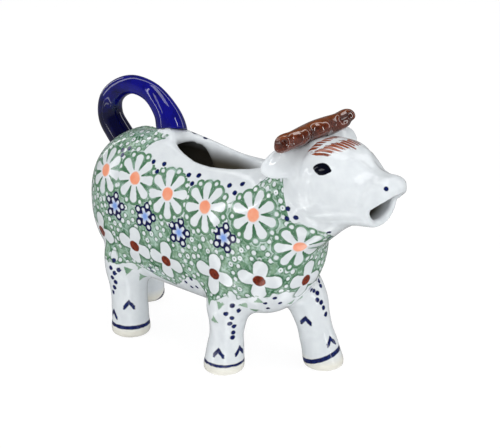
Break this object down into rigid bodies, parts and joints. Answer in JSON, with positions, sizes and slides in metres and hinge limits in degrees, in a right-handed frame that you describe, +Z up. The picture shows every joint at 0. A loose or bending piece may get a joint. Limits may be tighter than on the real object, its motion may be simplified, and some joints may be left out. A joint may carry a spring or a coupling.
{
  "type": "cow creamer",
  "caption": "Hollow stoneware cow jug, filled through an opening in its back and poured from its mouth, with a looped tail as handle and a hand-stamped flower pattern in green, blue and orange.",
  "frame": {"origin": "on the table, under the middle of the bounding box of the whole cow", "axes": "+X from the tail to the nose, +Y towards the cow's left side, +Z up"},
  "size_m": [0.1768, 0.058, 0.1221],
  "materials": {
    "stamped_glaze": "gloss",
    "white_glaze": "gloss",
    "cobalt_glaze": "gloss",
    "brown_glaze": "gloss"
  },
  "bodies": {
    "root": {"barrel": "stamped_glaze", "head": "white_glaze", "ear_left": "white_glaze", "ear_right": "white_glaze", "horn_bar": "brown_glaze", "tail_handle": "cobalt_glaze", "leg_front_left": "stamped_glaze", "leg_front_right": "stamped_glaze", "leg_rear_left": "stamped_glaze", "leg_rear_right": "stamped_glaze"}
  },
  "joints": []
}
